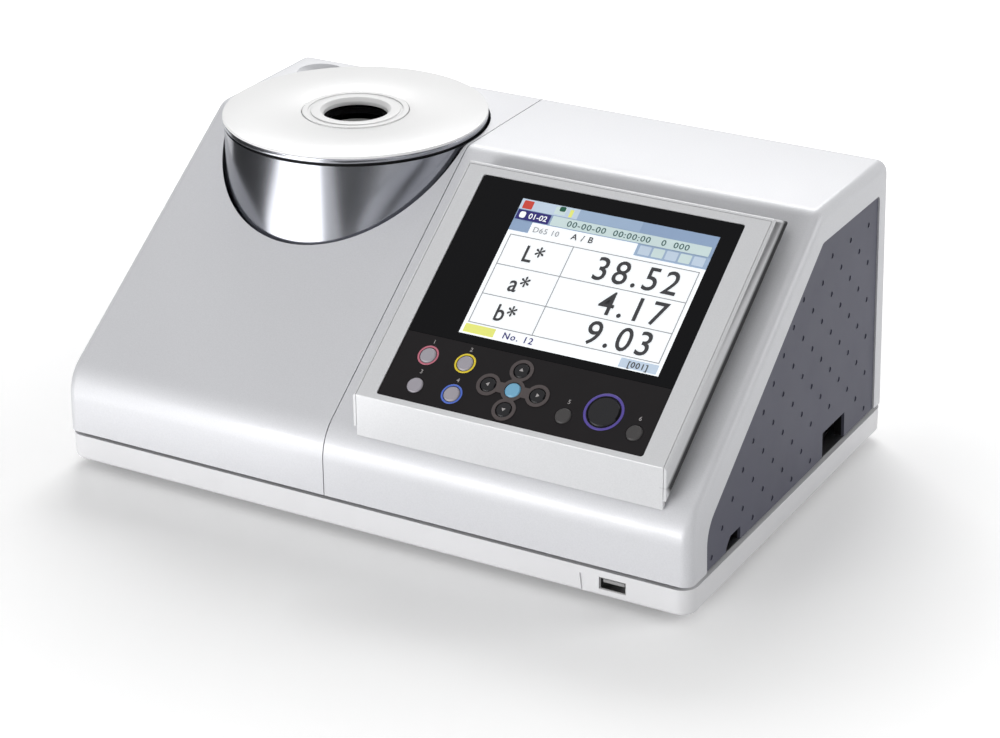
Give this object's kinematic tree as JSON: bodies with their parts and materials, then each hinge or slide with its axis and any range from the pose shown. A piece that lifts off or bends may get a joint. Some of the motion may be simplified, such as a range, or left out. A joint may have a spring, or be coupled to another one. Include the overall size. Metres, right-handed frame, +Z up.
{
  "type": "benchtop colorimeter",
  "caption": "Benchtop colorimeter with a top measuring port under a white plate, a sloping display with keys, and a cover that slides open over its sample chamber.",
  "frame": {"origin": "middle of the footprint on the surface that the feet stand on", "axes": "+X to the right along the width, the way the cover slides open; +Y to the back; +Z up"},
  "size_m": [0.385, 0.25, 0.1735],
  "materials": {
    "silver_shell": "silver-grey paint with a fine satin sheen",
    "base_white": "off-white moulded plastic, satin",
    "panel_grey": "slate grey moulding with small dimples, matt",
    "chrome_tower": "polished chrome sheet",
    "plate_white": "white enamel, smooth",
    "mask_white": "white moulding, satin",
    "port_black": "gloss black inner tube",
    "sphere_white": "white diffusing coating, dead matt",
    "deck_steel": "zinc-plated sheet steel",
    "rail_steel": "ground steel",
    "aluminium": "milled aluminium, satin",
    "chamber_black": "matt black sheet and mouldings",
    "bezel_silver": "silver paint, satin",
    "window_black": "gloss black window with the screen behind it",
    "keypad_black": "matt black-brown overlay",
    "surround_brown": "grey-brown raised ring moulding",
    "key_grey": "light grey keys",
    "key_dark": "dark grey keys",
    "key_black": "gloss black keys",
    "key_light_blue": "light blue centre key",
    "board_green": "green circuit board",
    "socket_metal": "nickel-plated socket",
    "black_plastic": "black moulding",
    "capacitor_blue": "blue sleeve",
    "lamp_glass": "clear flash tube",
    "lens_glass": "coated lens",
    "rubber_black": "soft black rubber",
    "glide_black": "acetal glide"
  },
  "bodies": {
    "base": {"base_shell": "base_white", "rubber_feet": "rubber_black", "chassis_plate": "deck_steel", "chassis_posts": "base_white", "base_screws": "rail_steel", "main_board": "board_green", "board_spacers": "black_plastic", "usb_socket": "socket_metal", "tower_shell": "chrome_tower", "tower_deck": "black_plastic", "port_tube": "port_black", "sphere_lower": "sphere_white", "sphere_upper": "sphere_white", "sphere_cradle": "aluminium", "lamp_housing": "aluminium", "flash_lamp": "lamp_glass", "flash_capacitor": "capacitor_blue", "left_cover": "silver_shell", "sphere_bulkhead": "chamber_black", "receiver_bulkhead": "chamber_black", "chamber_floor": "chamber_black", "receiver_housing": "aluminium", "receiver_lid": "aluminium", "receiver_lens": "lens_glass", "diffraction_grating": "lens_glass", "sensor_board": "board_green", "receiver_stand": "deck_steel", "slide_rails": "rail_steel", "port_frame": "sphere_white", "side_board": "board_green", "rocker_frame": "black_plastic", "power_inlet": "black_plastic", "data_socket": "socket_metal"},
    "cover": {"slide_cover": "silver_shell", "side_panel": "panel_grey", "slide_runners": "glide_black", "display_mount": "black_plastic", "display_housing": "bezel_silver", "display_bezel": "bezel_silver", "display_window": "window_black", "display_module": "deck_steel", "key_overlay": "keypad_black", "key_board": "board_green", "cross_surround": "surround_brown"},
    "rocker": {"power_rocker": "black_plastic"},
    "plate": {"measuring_plate": "plate_white", "plate_rim": "chrome_tower"},
    "mask": {"target_mask": "mask_white"},
    "key_pink": {"key_pink": "key_grey"},
    "key_yellow": {"key_yellow": "key_grey"},
    "key_plain": {"key_plain": "key_grey"},
    "key_blue": {"key_blue": "key_grey"},
    "key_up": {"key_up": "key_black"},
    "key_down": {"key_down": "key_black"},
    "key_left": {"key_left": "key_black"},
    "key_right": {"key_right": "key_black"},
    "key_centre": {"key_centre": "key_light_blue"},
    "key_back": {"key_back": "key_dark"},
    "key_measure": {"key_measure": "key_black"},
    "key_print": {"key_print": "key_dark"}
  },
  "joints": [
    {"name": "cover_slide", "type": "slide", "parent": "base", "child": "cover", "axis": [1, 0, 0], "range_m": [0, 0.09]},
    {"name": "power_rock", "type": "hinge", "parent": "base", "child": "rocker", "pos_m": [0.1759, 0.0618, 0.02915], "axis": [0, -1, 0], "range_deg": [0, 12]},
    {"name": "plate_lift", "type": "slide", "parent": "base", "child": "plate", "axis": [0, 0, 1], "range_m": [0, 0.04]},
    {"name": "mask_lift", "type": "slide", "parent": "plate", "child": "mask", "axis": [0, 0, 1], "range_m": [0, 0.025]},
    {"name": "key_pink_press", "type": "slide", "parent": "cover", "child": "key_pink", "axis": [0, 0.5808, -0.814], "range_m": [0, 0.001], "stiffness_N_per_m": 500, "springref_m": -0.0015},
    {"name": "key_yellow_press", "type": "slide", "parent": "cover", "child": "key_yellow", "axis": [0, 0.5808, -0.814], "range_m": [0, 0.001], "stiffness_N_per_m": 500, "springref_m": -0.0015},
    {"name": "key_plain_press", "type": "slide", "parent": "cover", "child": "key_plain", "axis": [0, 0.5808, -0.814], "range_m": [0, 0.001], "stiffness_N_per_m": 500, "springref_m": -0.0015},
    {"name": "key_blue_press", "type": "slide", "parent": "cover", "child": "key_blue", "axis": [0, 0.5808, -0.814], "range_m": [0, 0.001], "stiffness_N_per_m": 500, "springref_m": -0.0015},
    {"name": "key_up_press", "type": "slide", "parent": "cover", "child": "key_up", "axis": [0, 0.5808, -0.814], "range_m": [0, 0.001], "stiffness_N_per_m": 500, "springref_m": -0.0015},
    {"name": "key_down_press", "type": "slide", "parent": "cover", "child": "key_down", "axis": [0, 0.5808, -0.814], "range_m": [0, 0.001], "stiffness_N_per_m": 500, "springref_m": -0.0015},
    {"name": "key_left_press", "type": "slide", "parent": "cover", "child": "key_left", "axis": [0, 0.5808, -0.814], "range_m": [0, 0.001], "stiffness_N_per_m": 500, "springref_m": -0.0015},
    {"name": "key_right_press", "type": "slide", "parent": "cover", "child": "key_right", "axis": [0, 0.5808, -0.814], "range_m": [0, 0.001], "stiffness_N_per_m": 500, "springref_m": -0.0015},
    {"name": "key_centre_press", "type": "slide", "parent": "cover", "child": "key_centre", "axis": [0, 0.5808, -0.814], "range_m": [0, 0.001], "stiffness_N_per_m": 500, "springref_m": -0.0015},
    {"name": "key_back_press", "type": "slide", "parent": "cover", "child": "key_back", "axis": [0, 0.5808, -0.814], "range_m": [0, 0.001], "stiffness_N_per_m": 500, "springref_m": -0.0015},
    {"name": "key_measure_press", "type": "slide", "parent": "cover", "child": "key_measure", "axis": [0, 0.5808, -0.814], "range_m": [0, 0.001], "stiffness_N_per_m": 500, "springref_m": -0.0015},
    {"name": "key_print_press", "type": "slide", "parent": "cover", "child": "key_print", "axis": [0, 0.5808, -0.814], "range_m": [0, 0.001], "stiffness_N_per_m": 500, "springref_m": -0.0015}
  ]
}
